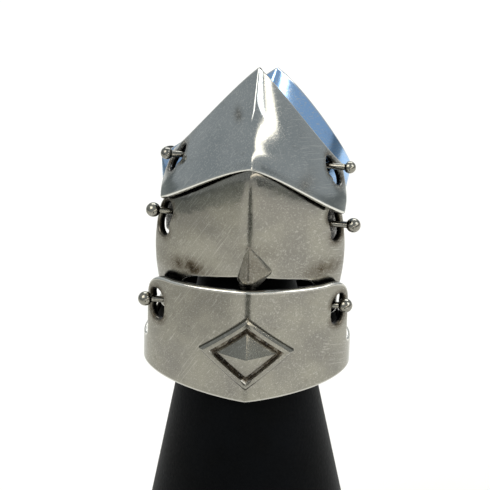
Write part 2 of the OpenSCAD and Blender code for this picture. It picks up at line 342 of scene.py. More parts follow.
def gridPoints(border, loops, spec, joined):
    # points on an even grid inside the loops, half a cell or more from the rims' rows
    scale, grid = np.array(spec["scale"]), spec["grid"]
    lo, hi = border.min(0), border.max(0)
    nx, ny = (int(round(n)) for n in (hi - lo) * scale / grid)
    x, y = np.meshgrid(np.linspace(lo[0], hi[0], nx + 1), np.linspace(lo[1], hi[1], ny + 1))
    points = np.stack([x.ravel(), y.ravel()], 1)
    if joined:
        points = points[(points[:, 0] > lo[0] + 1e-9) & (points[:, 0] < hi[0] - 1e-9)]
    points = points[insideLoops(points, loops)]
    border3, points3 = (np.pad(p * scale, ((0, 0), (0, 1))) for p in (border, points))
    return points[distances(border3, points3) > grid * 0.55]


def seamPoints(border, rows, spec):
    # matching points down both sides of the seam, half a cell from the rims' rows
    tall, grid = spec["scale"][1], spec["grid"]
    have = np.array([row[0][0][1] for row in rows])
    steps = [v for v in np.arange(have.min(), have.max(), grid / tall)
             if np.abs(have - v).min() * tall > grid * 0.5]
    return [np.array([(side, v) for v in steps]).reshape(-1, 2)
            for side in (border[:, 0].min(), border[:, 0].max())]


def triangulate(flat, edges, loops, spec):
    # triangles between the points, all counted the same way round
    work = flat * np.array(spec["scale"])
    corners = [Vector(p) for p in work.tolist()]
    got = delaunay_2d_cdt(corners, [(int(a), int(b)) for a, b in edges], [], 0, 1e-7)
    first = np.array([o[0] if o else -1 for o in got[3]])
    tris = np.array([f for f in got[2] if len(f) == 3])
    tris = first[tris[(first[tris] >= 0).all(1)]]
    tris = tris[insideLoops(flat[tris].mean(1), loops)]
    size = work[tris]
    area = np.cross(size[:, 1] - size[:, 0], size[:, 2] - size[:, 0])
    return np.where(area[:, None] > 0, tris, tris[:, ::-1])[np.abs(area) > 1e-7]


def wearAndPaintedLightOf(skin, spec, at, rims, holes):
    # what wear, tarnish and painted light follow: the rims, the holes, the inside, patches of
    # grime and of painted shade, and the painted reflection of the sky
    wearAndPaintedLight = {"inside": np.repeat([0.0, 1.0], len(at))}
    for key, paths in (("rimDistance", rims), ("holeDistance", holes)):
        value = np.full(len(at), wearReach)
        if paths:
            lines = np.vstack([skin(p[:, 0], p[:, 1]) for p in paths])
            value = np.minimum(distances(lines, at), wearReach)
        wearAndPaintedLight[key] = np.tile(value, 2)
    x, y, z = at.T

    def before(last):   # fades out behind y = last
        return 1 / (1 + np.exp(2 * (y - last)))

    # patches of grime and stains, and on the tip band patches of painted shade where the middle
    # plate covers it
    grime = np.zeros(len(at))
    for patchX, patchZ, wide, tall, amount in spec.get("grime", []):
        patch = np.exp(-((x - patchX) / wide) ** 2 - ((z - patchZ) / tall) ** 2)
        grime = np.maximum(grime, amount * patch)
    wearAndPaintedLight["grime"] = np.tile(grime * before(grimeAndPaintedShadeEnds), 2)
    # a painted reflection of the blue sky on the tip band, full above one height and fading out
    # behind a y
    if "sheen" in spec:
        start, full, behind = spec["sheen"]
        sheen = np.clip((z - start) / (full - start), 0, 1)
        wearAndPaintedLight["sheen"] = np.tile(sheen * before(behind), 2)
    return wearAndPaintedLight


def sheetPiece(name, skin, spec, rims, holes, joined=False):
    # a sheet of even thickness with rounded rims; joined closes it round the finger
    holes = [clockwise(h) for h in holes]
    layers, edges, count = [], [], 0
    for path, closed in [(p, not joined) for p in rims] + [(h, True) for h in holes]:
        layers += rimRows(skin, spec, path, closed)
        edge = np.arange(count, count + len(path))
        edges += zip(edge, np.roll(edge, -1)) if closed else zip(edge[:-1], edge[1:])
        count += len(path) * len(rimShares)
    loops = [np.vstack(rims)] + holes
    border = np.vstack([row[0] for row in layers])
    inner = [gridPoints(border, loops, spec, joined)]
    if joined:
        inner += seamPoints(border, layers[:len(rims) * len(rimShares)], spec)
    layers += [(p, np.zeros(len(p)), np.zeros((len(p), 3))) for p in inner]
    flat, depth, aim = (np.concatenate(column) for column in zip(*layers))
    tris = triangulate(flat, edges, loops, spec).tolist()

    at = skin(flat[:, 0], flat[:, 1])
    normal = np.cross(*slopes(skin, flat[:, 0], flat[:, 1], spec))
    normal /= np.linalg.norm(normal, axis=1)[:, None]
    lift = np.sqrt(np.maximum(0, 1 - (aim ** 2).sum(1)))[:, None]
    outer = at - normal * depth[:, None]
    under = at - normal * (ring["wall"] - depth)[:, None]
    points = settle(np.vstack([outer, under]), spec["rest"], spec["hinge"])
    normals = np.vstack([normal * lift + aim, -normal * lift + aim]) @ settleTurn(spec["rest"])
    n = len(flat)
    faces = [tuple(t) for t in tris] + [(c + n, b + n, a + n) for a, b, c in tris]
    faces += [(int(a), int(a) + n, int(b) + n, int(b)) for a, b in edges]
    piece = buildMesh(name, points, faces, wearAndPaintedLightOf(skin, spec, at, rims, holes), outward=True)
    if joined:   # closes the seam at the back
        work = bmesh.new()
        work.from_mesh(piece.data)
        bmesh.ops.remove_doubles(work, verts=work.verts, dist=1e-7)
        work.to_mesh(piece.data)
        work.free()
        tree = treeOf(points * mm)
        normals = normals[[tree.find(v.co)[1] for v in piece.data.vertices]]
    setNormals(piece, normals)
    print("built", name, len(piece.data.polygons), "faces, open edges", openEdges(piece.data))
    return piece


def slotLoops(skin, spec, at, slots):
    # the outlines of a plate's two oval slots, traced on its skin
    loops = []
    half, r = (slots["length"] - slots["width"]) / 2, slots["width"] / 2
    angle = np.linspace(0, 2 * math.pi, 96, endpoint=False)
    oval = np.stack([np.sign(np.cos(angle)) * half + r * np.cos(angle), r * np.sin(angle)], 1)
    for side in (-1, 1):
        reach = side * ring["halfWidth"] * slots["reach"]
        about = np.array([reach, at[0], at[1] - slots["drop"]])
        spin = turnTable(-side * ring["slotTurn"], 90) @ turnTable(slots["tilt"], 0)

        def view(p, about=about, spin=spin):
            return ((p - about) @ spin)[:, :2]

        start = (side * slots["start"][0], slots["start"][1])
        start = solveOn(skin, view, np.zeros((1, 2)), start, spec)[0]
        loops.append(solveOn(skin, view, oval, start, spec))
    return loops


def boreLoops(skin, spec, at, start):
    # the outlines of a pair of pin bores; start is where on the skin to look for them
    angle = np.linspace(0, 2 * math.pi, 40, endpoint=False)
    circle = np.array(at) + ring["pinHole"] * np.stack([np.cos(angle), np.sin(angle)], 1)
    return [solveOn(skin, lambda p: p[:, 1:], circle, (side * start[0], start[1]), spec)
            for side in (-1, 1)]


band = {
    "hinge": hinges["lower"], "rest": (0.2, 0, 1.4),
    "shieldHeight": 12.75, "dip": 1.1, "shoulderDrop": 0.7, "wingY": 1.9, "cornerRadius": 3.3,
    "strapHeight": 3.4, "strapBackHeight": 7.0, "stepRadius": 0.8,
    "strapRise": (0.25, 0.7),   # where the strap starts to rise and ends, as shares of back
    "slots": {"length": 3.7, "width": 2.2, "drop": 0.5, "tilt": 0, "reach": 0.87,
              "start": (0.32, 8.4)},
    # mesh: spacing of the grid and of the rims, how long one unit is across and up, and
    # the steps and limits of both for measuring slopes
    "grid": 0.3, "rimSpacing": 0.14, "scale": (36.0, 1.0),
    "step": (0.0008, 0.01), "low": (-1.5, -5.0), "high": (1.5, 30.0),
}


def bandRims(spec):
    # the lower rim, and the upper one from the band's outline seen from the side
    front, back, wing = ring["front"], ring["back"], -spec["wingY"]
    corner, step = spec["cornerRadius"], spec["stepRadius"]
    shoulder = spec["shieldHeight"] - spec["shoulderDrop"] - corner
    strap, high = spec["strapHeight"], spec["strapBackHeight"]
    rise, risen = spec["strapRise"]
    side = [(-front, spec["shieldHeight"])]
    side += arcPoints(wing - corner, shoulder, corner, 90, 0)
    side += arcPoints(wing + step, strap + step, step, 180, 270)
    side += [(back * rise, strap), (back * risen, high), (back, high)]
    dense = finer(np.array(side), lambda leg: max(2, int(np.linalg.norm(leg) / 0.1)))
    turn = np.linspace(0, 1, 4001)
    planY = np.maximum.accumulate(bandSkin(turn, np.zeros_like(turn))[:, 1])
    s = np.interp(dense[:, 0], planY, turn)
    s[0], s[-1] = 0, 1
    right = np.stack([s, dense[:, 1]], 1)
    upper = np.vstack([right[::-1], (right * [-1, 1])[1:]])   # from +1 back to -1
    s = np.linspace(-1, 1, 721)
    x = np.abs(bandSkin(s, np.zeros_like(s))[:, 0])
    dip = np.where(np.abs(s) <= 0.5, -spec["dip"] * (1 - x / ring["halfWidth"]), 0)
    return np.stack([s, dip], 1), upper


def makeBand(spec):
    rims = [evenly(bandSkin, p, spec["rimSpacing"], closed=False) for p in bandRims(spec)]
    holes = slotLoops(bandSkin, spec, spec["hinge"], spec["slots"])
    return sheetPiece("fingerBand", bandSkin, spec, rims, holes, joined=True)


fingerBand = makeBand(band)
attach(fingerBand, "base")
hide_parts("base_band")


middle = {
    # sections from the foot up: half angle in degrees, width, depth and shift forward or
    # back as shares of the ring's, heights of ridge and ends as shares of height, and
    # the power of the curve between them
    "rows": [[74, 0.88, 0.84, 0, -0.087, -0.087, 1], [76, 0.885, 0.845, 0, 0.108, 0.031, 2],
             [78, 0.92, 0.88, 0, 0.366, 0.211, 2], [78, 0.92, 0.91, 0, 0.649, 0.391, 1.6],
             [76, 0.87, 0.86, 0, 0.861, 0.572, 1.4], [62, 0.755, 0.785, 0, 0.948, 0.686, 1.4],
             [52, 0.69, 0.68, 0, 1, 0.747, 1.4]],
    "hinge": hinges["lower"], "height": 19.4, "rest": (0.25, 1, 1.2), "cornerRadius": 0.5,
    "windowWidth": 15.2, "windowTop": 13.95, "windowRadius": 2.4, "windowDrop": 1.0,
    "eyeBulge": (0.35, 0.45),   # metal left round the bores: how far and how high
    "slots": {"length": 4.2, "width": 2.2, "drop": 0.3, "tilt": 8, "reach": 0.78,
              "start": (0.8, 0.7)},
    "boreStart": (0.95, 0.1),
    # patches darkened brown, near black at the cut's ends and faint at the foot: x, z, width,
    # height and amount of each patch
    "grime": [(-6.6, 13.9, 2.2, 1.1, 1.3), (8.2, 13.6, 2.0, 1.1, 1.0),
              (0.8, 17.0, 2.4, 1.2, 0.35)],
    "grid": 0.3, "rimSpacing": 0.14, "scale": (13.0, 17.0),
    "step": (0.002, 0.002), "low": (-1, 0), "high": (1, 1),
}


def plateOutline(skin, spec, window=None):
    # round a plate that is open at its sides, anticlockwise from its lower left corner
    if window is None:
        foot = [(s, 0.0) for s in np.linspace(-1, 1, 41)]
    else:
        ends = solveOn(skin, lambda p: p[:, [0, 2]], window, (0.0, 0.3), spec)
        foot = [(-1.0, 0.0)] + ends.tolist() + [(1.0, 0.0)]
    sides = np.linspace(0, 1, 17)[1:-1]
    path = foot + [(1.0, v) for v in sides]
    topRight = len(path)
    path += [(s, 1.0) for s in np.linspace(1, -1, 41)]
    sharp = {0, len(foot) - 1, topRight, len(path) - 1}
    path += [(-1.0, v) for v in sides[::-1]]
    if window is not None:
        sharp |= {1, len(foot) - 2}
    return evenly(skin, rounded(path, sharp, spec["cornerRadius"], skin), spec["rimSpacing"])


def windowLine(skin, spec):
    # the cut's outline: up past the eye round the bore, round the corner, up to the gable
    half, top, r = spec["windowWidth"] / 2, spec["windowTop"], spec["windowRadius"]
    foot = skin(np.array([0.0]), np.array([0.0]))[0][2]
    corner = top - spec["windowDrop"] - r
    bulge, high = spec["eyeBulge"]
    climb = [(bulge * math.exp(-((z - spec["hinge"][1]) / high) ** 2) - half, z)
             for z in np.linspace(foot, corner, 25)]
    run, rise = half - r, top - corner
    meets = math.degrees(math.atan2(rise, run) + math.acos(r / math.hypot(run, rise)))
    bend = arcPoints(r - half, corner, r, 180, meets)[1:]
    endX, endZ = bend[-1]
    slope = [(x, top + x * (top - endZ) / -endX) for x in np.linspace(endX, 0, 21)[1:]]
    left = climb + bend + slope
    return np.array(left + [(-x, z) for x, z in left[-2::-1]])


def makeMiddle(spec):
    skin = plateSkin(spec)
    rim = plateOutline(skin, spec, windowLine(skin, spec))
    holes = slotLoops(skin, spec, hinges["middle"], spec["slots"])
    holes += boreLoops(skin, spec, hinges["lower"], spec["boreStart"])
    return sheetPiece("middlePlate", skin, spec, [rim], holes)


middlePlate = makeMiddle(middle)
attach(middlePlate, "middle")
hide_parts("middle_plate")


upper = {
    "rows": [[61, 1.005, 1.085, 0.035, 0.17, -0.4, 1.4],
             [68, 0.95, 1.06, 0.081, 0.37, -0.29, 1.3],
             [71, 0.895, 0.96, 0.151, 0.67, -0.16, 1.15],
             [68, 0.865, 0.709, 0.256, 1, -0.05, 1.14]],
    "hinge": hinges["upper"], "height": 11.9, "rest": (1.05, 5, 2.5), "cornerRadius": 0.5,
    "slots": {"length": 3.2, "width": 2.2, "drop": 0.3, "tilt": 20, "reach": 0.7,
              "start": (0.8, 0.6)},
    "grime": [(-1.8, 32.6, 0.45, 0.6, 0.8), (5.9, 25.3, 0.8, 1.2, 0.6)],   # two small stains
    "grid": 0.3, "rimSpacing": 0.14, "scale": (13.0, 10.0),
    "step": (0.002, 0.002), "low": (-1, 0), "high": (1, 1),
}


def makeUpper(spec):
    skin = plateSkin(spec)
    holes = slotLoops(skin, spec, hinges["upper"], spec["slots"])
    return sheetPiece("upperPlate", skin, spec, [plateOutline(skin, spec)], holes)


upperPlate = makeUpper(upper)
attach(upperPlate, "upper")
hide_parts("upper_plate")


tip = {
    # three more columns: depth behind as a share of the ring's back, height at the rear
    # as a share of height, and how much of the skew applies
    "rows": [[180, 0.81, 0.69, 0.15, 0.065, -0.243, 1.2, 0.88, -0.379, 0],
             [180, 0.835, 0.68, 0.16, 0.361, -0.024, 1.2, 0.88, -0.278, 0.1],
             [180, 0.87, 0.66, 0.22, 0.675, 0.1, 1.15, 0.84, -0.178, 0.4],
             [180, 0.905, 0.41, 0.41, 1, 0.254, 1.18, 0.72, -0.083, 1]],
    "hinge": hinges["middle"], "height": 16.9, "rest": (0.4025, 3, 3),
    "skew": 1.9,        # how far the point leans to +X
    "rearPower": 1.6,   # the curve from the ends to the rear
    "boreStarts": {"middle": (0.36, 0.3), "upper": (0.42, 0.85)},
    "sheen": (18.0, 22.0, 3.2),   # heights where the painted reflection of the blue sky starts and is full, last y
    # painted shade, brown to near black, where the middle plate covers it: x, z, width, height and
    # amount
    "grime": [(-8.0, 17.0, 2.6, 4.0, 3.6), (8.5, 17.0, 2.6, 4.0, 3.6)],
    "grid": 0.32, "rimSpacing": 0.16, "scale": (26.0, 11.0),
    "step": (0.0015, 0.002), "low": (-1.5, 0), "high": (1.5, 1),
}


def makeTip(spec):
    skin = plateSkin(spec)
    s = np.linspace(-1, 1, 241)
    lines = np.stack([s, np.zeros_like(s)], 1), np.stack([s[::-1], np.ones_like(s)], 1)
    rims = [evenly(skin, line, spec["rimSpacing"], closed=False) for line in lines]
    holes = []
    for hinge, start in spec["boreStarts"].items():
        holes += boreLoops(skin, spec, hinges[hinge], start)
    return sheetPiece("tipBand", skin, spec, rims, holes, joined=True)


tipBand = makeTip(tip)
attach(tipBand, "tip")
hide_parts("tip_band")


boss = {
    "width": 10.4, "height": 8.8, "rise": 1.6, "z": 5.2, "pointsPerSide": 14,
    "bevel": 0.11, "bevelAngle": 24,
    # size as a share of the outline, height as a share of the rise, how dark the step is
    "steps": [(1, -0.27, 1.2), (1, 0.3, 0), (0.92, 0.42, 0), (0.8, 0.42, 0), (0.74, 0.14, 1.4),
              (0.66, 0.14, 1.4), (0.6, 0.38, 0.2), (0.3, 0.69, 0), (0.03, 0.97, 0)],
}


def softenEdges(piece, width, angle):
    bevel = piece.modifiers.new("softEdges", "BEVEL")
    bevel.width, bevel.segments = width * mm, 3
    bevel.limit_method, bevel.angle_limit = "ANGLE", math.radians(angle)
    bevel.use_clamp_overlap = True


def lozengeEdge(i, n):
    f = (4 * i / n) % 4
    return 1 - abs(f if f < 2 else 4 - f), abs((f + 1) % 4 - 2) - 1


def makeBoss(spec):
    n = spec["pointsPerSide"] * 4
    wide, tall, rise = spec["width"] / 2, spec["height"] / 2, spec["rise"]
    points, faces = [], []

    def raised(x, z, h):
        # a point h in front of the shield
        turn = np.arcsin(np.array([x]) / ring["halfWidth"])
        y = gabledPlan(ring["halfWidth"], ring["front"], 0, turn)[1][0]
        return [x, y - h, spec["z"] + z]

    for size, high, _ in spec["steps"]:
        for i in range(n):
            ex, ez = lozengeEdge(i, n)
            points.append(raised(size * wide * ex, size * tall * ez, high * rise))
    points += [raised(0, 0, spec["steps"][0][1] * rise), raised(0, 0, rise)]
    for k in range(len(spec["steps"]) - 1):
        for i in range(n):
            a, b = k * n + i, k * n + (i + 1) % n
            faces.append((a, b, b + n, a + n))
    back, peak = len(points) - 2, len(points) - 1
    faces += [(back, (i + 1) % n, i) for i in range(n)]
    faces += [(peak, back - n + i, back - n + (i + 1) % n) for i in range(n)]
    grime = [dark for _, _, dark in spec["steps"] for _ in range(n)] + [0, 0]
    points = settle(np.array(points), band["rest"], band["hinge"])
    piece = buildMesh("lozengeBoss", points, faces, {"grime": grime})
    softenEdges(piece, spec["bevel"], spec["bevelAngle"])
    return piece


lozengeBoss = makeBoss(boss)
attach(lozengeBoss, "base")


keel = {
    "radius": 1.3, "height": 4.9, "foot": middle["windowTop"], "turns": 64, "grime": 0.5,
    # the balls that span it: radius as a share of radius, front as a share of the ring's,
    # height as shares of radius and height, distance to +X as a share of radius
    "balls": [(0.25, 0.898, -1, 1, 0), (1, 0.922, -0.1, 0, 0), (0.85, 0.82, -1, 0, 0),
              (0.6, 0.88, 0, 0.42, 0.7), (0.6, 0.86, 0.5, 0, 1.4)],
}


def keelBalls(spec):
    r = spec["radius"]
    for size, front, byRadius, byHeight, aside in spec["balls"]:
        z = spec["foot"] + byRadius * r + byHeight * spec["height"]
        yield Vector((aside * r, size * r - front * ring["front"], z)), size * r


def makeKeel(spec):
    balls, n = list(keelBalls(spec)), spec["turns"]
    work = bmesh.new()
    heart = work.verts.layers.int.new("heart")   # which ball a point belongs to
    for k, (centre, radius) in enumerate(balls):
        for i in range(n // 2 + 1):
            for j in range(n if 0 < i < n // 2 else 1):
                a, b = math.pi * i / (n // 2), 2 * math.pi * j / n
                out = (math.sin(a) * math.cos(b), math.sin(a) * math.sin(b), math.cos(a))
                work.verts.new(centre + radius * Vector(out))[heart] = k
    hull = bmesh.ops.convex_hull(work, input=work.verts)
    buried = {v for v in hull["geom_interior"] if isinstance(v, bmesh.types.BMVert)}
    bmesh.ops.delete(work, geom=list(buried), context="VERTS")
    work.verts.index_update()
    normals = [((v.co - balls[v[heart]][0]) / balls[v[heart]][1]).normalized() for v in work.verts]
    points = [list(v.co) for v in work.verts]
    faces = [tuple(v.index for v in f.verts) for f in work.faces]
    work.free()
    points = settle(np.array(points), middle["rest"], middle["hinge"])
    grime = {"grime": [spec["grime"]] * len(points)}
    piece = buildMesh("footKeel", points, faces, grime, outward=True)
    setNormals(piece, np.array([list(v) for v in normals]) @ settleTurn(middle["rest"]))
    return piece


footKeel = makeKeel(keel)
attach(footKeel, "middle")


pins = {
    "diameter": 0.7, "turns": 48, "neck": 0.12, "endChamfer": 0.05,
    "headDiameter": 1.5, "headThickness": 0.4, "headEdge": 0.08,
    "bevel": 0.03, "bevelAngle": 50,
    # inner end, left and right outer ends as shares of the half width, ball, whether the
    # inner end has a flat head, the body and the plate that carry the pair
    "pairs": {
        "lower": (0.5135, (0.985, 0.925), 1.6, True, "middle", middle),
        "middle": (0.36, (0.916, 0.98), 1.6, False, "tip", tip),
        "upper": (0.3, (0.816, 0.905), 1.35, False, "tip", tip),
    },
}


def latheMesh(name, profile, turns, place):
    # profile holds radius and length along the axis; place maps lathe points to the ring
    angle = np.linspace(0, 2 * math.pi, turns, endpoint=False)
    points, faces, rows = [], [], []
    for r, h in profile:
        if r < 1e-6:
            rows.append([len(points)] * turns)
            points.append((0, 0, h))
        else:
            rows.append(list(range(len(points), len(points) + turns)))
            points += [(r * math.cos(a), r * math.sin(a), h) for a in angle]
    for low, high in zip(rows[:-1], rows[1:]):
        for i in range(turns):
            j = (i + 1) % turns
            face = tuple(dict.fromkeys([low[i], low[j], high[j], high[i]]))
            if len(face) > 2:
                faces.append(face)
    return buildMesh(name, place(np.array(points)), faces)


def pinProfile(spec, inside, outside, ball, flatHead):
    r, ballRadius, neck = spec["diameter"] / 2, ball / 2, spec["neck"]
    if flatHead:
        e, back = spec["headEdge"], inside - spec["headThickness"]
        flat = spec["headDiameter"] / 2 - e
        profile = [(0, back), (flat, back)]
        profile += [(flat + e * math.sin(a), back + e - e * math.cos(a))
                    for a in np.radians([30, 60, 90])]
        profile += [(flat + e * math.cos(a), inside - e + e * math.sin(a))
                    for a in np.radians([0, 30, 60, 90])]
        profile += [(r, inside)]
    else:
        profile = [(0, inside), (r - spec["endChamfer"], inside), (r, inside + spec["endChamfer"])]
    start = math.asin((r + neck) / ballRadius)
    meets = outside - ballRadius * math.cos(start)
    profile += [(r, meets - neck * 1.2), (r + neck * 0.3, meets - neck * 0.4)]   # a small fillet
    profile += [(ballRadius * math.sin(a), outside - ballRadius * math.cos(a))
                for a in np.linspace(start, math.pi, 26)[:-1]]
    return profile + [(0, outside + ballRadius)]


def makePins(spec):
    made = []
    for hinge, (inside, ends, ball, flatHead, body, plate) in spec["pairs"].items():
        for side, word, outside in ((-1, "left", ends[0]), (1, "right", ends[1])):
            inner, outer = inside * ring["halfWidth"], outside * ring["halfWidth"]

            def place(p, side=side, y=hinges[hinge][0], z=hinges[hinge][1], plate=plate):
                at = np.stack([side * p[:, 2], p[:, 0] + y, p[:, 1] + z], 1)
                return settle(at, plate["rest"], plate["hinge"])

            profile = pinProfile(spec, inner, outer, ball, flatHead)
            piece = latheMesh(f"{hinge}Pin_{word}", profile, spec["turns"], place)
            softenEdges(piece, spec["bevel"], spec["bevelAngle"])
            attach(piece, body)
            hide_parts(f"pin_{hinge}_{word}")
            made.append(piece)
    return made


ballPins = makePins(pins)


cone = {
    "footRadius": 15.0, "seatRadius": 7.35, "seatZ": ring["rimZ"], "topZ": 52.0,
    "bluntRadius": 2.0, "footEdge": 0.5, "turns": 192, "rows": 60,
}


def makeCone(spec):
    foot, e = spec["footRadius"], spec["footEdge"]
    blunt, top = spec["bluntRadius"], spec["topZ"]
    taper = (foot - spec["seatRadius"]) / spec["seatZ"]
    tipRadius = spec["seatRadius"] - taper * (top - spec["seatZ"])
    profile = [(0, 0), (foot * 0.5, 0), (foot - e, 0)]
    profile += [(foot - e + e * math.sin(a) * 0.97, e - e * math.cos(a))   # just inside the taper
                for a in np.radians([25, 50, 75])]
    profile += [(foot - taper * z, z) for z in np.linspace(e, top - blunt, spec["rows"])]
    profile += [(tipRadius - blunt + blunt * math.cos(a), top - blunt + blunt * math.sin(a))
                for a in np.radians(np.linspace(15, 90, 12))]
    profile += [((tipRadius - blunt) * 0.5, top), (0, top)]
    return latheMesh("displayCone", profile, spec["turns"], lambda p: p)


displayCone = makeCone(cone)
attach(displayCone, "base")
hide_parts("stand_cone")
print("small pieces built")


def linear(code):
    # sRGB hex to linear colour
    parts = [int(code[i:i + 2], 16) / 255 for i in (1, 3, 5)]
    colour = [c / 12.92 if c <= 0.04045 else ((c + 0.055) / 1.055) ** 2.4 for c in parts]
    return (*colour, 1.0)


def addNode(tree, kind, inputs=None, output=0, **settings):
    # adds a node and returns one of its outputs; inputs hold numbers, colours or outputs
    node = tree.nodes.new(kind)
    for key, value in settings.items():
        setattr(node, key, value)
    for key, value in (inputs or {}).items():
        if isinstance(value, bpy.types.NodeSocket):
            tree.links.new(value, node.inputs[key])
        else:
            node.inputs[key].default_value = value
    return node.outputs[output] if node.outputs else node


def newMaterial(name):
    material = bpy.data.materials.new(name)
    material.use_nodes = True
    material.node_tree.nodes.clear()
    return material, functools.partial(addNode, material.node_tree)


silverLook = {
    # the brown also serves as painted shade on the sheets' inner walls, and the near black is
    # painted shade over the whole inside and the darkest patches
    "metal": "#949287", "shade": "#83817a", "tarnish": "#51483a", "soot": "#090807",
    # the near white is the rubbed rims and hairlines with a painted highlight, and the pale blue
    # is a painted reflection of the sky
    "worn": "#e4e3dc", "sheen": "#a3ccfb",
    "roughness": 0.14, "tarnishRoughness": 0.45,
    "cloudSize": 4.0,    # mm, drifts of tone left by handling
    "blotchSize": 1.3,   # mm, spots of tarnish
    "dentSize": 1.6,     # mm, low waves left by hammering and filing
    "dentDepth": 0.06,   # mm
    "lineDepth": 0.08,   # depth of the hairlines, as a share of the dents'
    "spots": 0.35, "lines": 0.22,   # how strongly spots of tarnish and the hairlines, painted bright as glints, show
    "wornEdge": 0.35,    # mm, how far in the rims are rubbed bright and carry a painted highlight
    "holeStain": 0.9,    # mm, how far the holes are tarnished
}
brightLook = dict(silverLook, metal="#b1b5b4", shade="#a6abab", roughness=0.1, dentDepth=0.012,
                  spots=0.2, lines=0.42)
# hairlines: how each set is turned, and the width and length in mm of its noise
hairlines = [((0.3, 0.5, 0.1), 0.12, 6.0), ((1.2, -0.7, 0.4), 0.1, 4.0),
             ((0.1, 1.9, 1.0), 0.15, 8.0)]


def agedSilver(name, look):
    # sterling silver, filed and hand polished, then worn: rubbed bright at its edges with a
    # painted highlight there, brown silver sulphide in the corners, painted shade in brown and
    # near black over the inside and the darkest patches, hairlines all over painted bright as
    # glints, and a painted reflection of the blue sky where a piece carries one
    material, add = newMaterial(name)
    space = add("ShaderNodeTexCoord", output="Object")
    rim, hole, inside, grime, sheen = [
        add("ShaderNodeAttribute", attribute_name=key, output="Fac")
        for key in ("rimDistance", "holeDistance", "inside", "grime", "sheen")]
    clouds = add("ShaderNodeTexNoise", {
        "Vector": space, "Scale": 1 / (look["cloudSize"] * mm), "Detail": 3.0})
    blotches = add("ShaderNodeTexNoise", {
        "Vector": space, "Scale": 1 / (look["blotchSize"] * mm), "Detail": 4.0,
        "Roughness": 0.6, "Distortion": 0.3})
    dents = add("ShaderNodeTexNoise", {
        "Vector": space, "Scale": 1 / (look["dentSize"] * mm), "Detail": 2.0})
    lines = 0.0
    for turn, across, along in hairlines:
        squeezed = add("ShaderNodeMapping", {
            "Vector": space, "Rotation": turn,
            "Scale": (across * mm, across * mm, along * mm)}, vector_type="TEXTURE")
        noise = add("ShaderNodeTexNoise", {
            "Vector": squeezed, "Scale": 1.0, "Detail": 1.0, "Roughness": 0.4})
        line = add("ShaderNodeMapRange", {"Value": noise, "From Min": 0.63, "From Max": 0.7})
        lines = add("ShaderNodeMath", {0: lines, 1: line}, operation="MAXIMUM")

    # tarnish in spots and round the holes, brown where grime gathers, and painted shade in brown
    # and near black over the whole inside and the darkest patches
    patchy = add("ShaderNodeMapRange", {
        "Value": blotches, "From Min": 0.3, "From Max": 0.6, "To Min": 0.35})
    stainAndPaintedShade = add("ShaderNodeMapRange", {
        "Value": blotches, "From Min": 0.62, "From Max": 0.78, "To Max": look["spots"]})
    nearHole = add("ShaderNodeMapRange", {
        "Value": hole, "From Min": look["holeStain"], "From Max": 0.1, "To Max": 0.9})
    nearHole = add("ShaderNodeMath", {0: nearHole, 1: patchy}, operation="MULTIPLY")
    patchyGrimeAndPaintedShade = add("ShaderNodeMath", {0: grime, 1: patchy}, operation="MULTIPLY")
    within = add("ShaderNodeMapRange", {"Value": inside, "From Min": 0.1, "From Max": 0.5})
    for part in (nearHole, patchyGrimeAndPaintedShade, within):
        stainAndPaintedShade = add("ShaderNodeMath", {0: stainAndPaintedShade, 1: part}, operation="MAXIMUM")
    # painted shade: near black over the inside and where the patches are darkest
    paintedShadeAmount = add("ShaderNodeMapRange", {"Value": patchyGrimeAndPaintedShade, "From Min": 0.9, "From Max": 1.5})
    paintedShadeAmount = add("ShaderNodeMath", {0: paintedShadeAmount, 1: within}, operation="MAXIMUM")

    # the outer rims are rubbed bright with a painted highlight on them, and the hairlines are
    # painted bright as glints
    edge = add("ShaderNodeMapRange", {
        "Value": rim, "From Min": look["wornEdge"], "From Max": 0.1, "To Max": 0.9})
    bright = add("ShaderNodeMath", {0: lines, 1: look["lines"]}, operation="MULTIPLY")
    bright = add("ShaderNodeMath", {0: bright, 1: edge}, operation="MAXIMUM")
    outside = add("ShaderNodeMapRange", {"Value": inside, "From Min": 0.6, "From Max": 0.3})
    bright = add("ShaderNodeMath", {0: bright, 1: outside}, operation="MULTIPLY")

    toned = add("ShaderNodeMapRange", {"Value": clouds, "From Min": 0.35, "From Max": 0.65})
    tone = linear(look["shade"])
    # over the tone in turn: the painted sky reflection, tarnish with painted shade, near-black
    # painted shade, and the worn rims and hairlines with their painted highlight
    for amount, colour in ((toned, "metal"), (sheen, "sheen"), (stainAndPaintedShade, "tarnish"),
                           (paintedShadeAmount, "soot"), (bright, "worn")):
        tone = add("ShaderNodeMix", {0: amount, 6: tone, 7: linear(look[colour])},
                   output=2, data_type="RGBA")
    rough = add("ShaderNodeMapRange", {
        "Value": clouds, "From Min": 0.3, "From Max": 0.7,
        "To Min": look["roughness"] * 0.7, "To Max": look["roughness"] * 1.4})
    rough = add("ShaderNodeMapRange", {
        "Value": stainAndPaintedShade, "To Min": rough, "To Max": look["tarnishRoughness"]})
    height = add("ShaderNodeMath", {0: lines, 1: -look["lineDepth"], 2: dents},
                 operation="MULTIPLY_ADD")
    bump = add("ShaderNodeBump", {
        "Height": height, "Strength": 0.35, "Distance": look["dentDepth"] * mm})
    surface = add("ShaderNodeBsdfPrincipled", {
        "Base Color": tone, "Metallic": 1.0, "Roughness": rough, "Normal": bump})
    add("ShaderNodeOutputMaterial", {"Surface": surface})
    return material


coneLook = {
    "colour": "#010203", "worn": "#030508", "roughness": 0.7,
    "grainSize": 0.35, "grainDepth": 0.05,   # mm
    "driftSize": 6.0,                        # mm, clouds of wear
    "specular": 0.06, "sheen": 0.1,
}


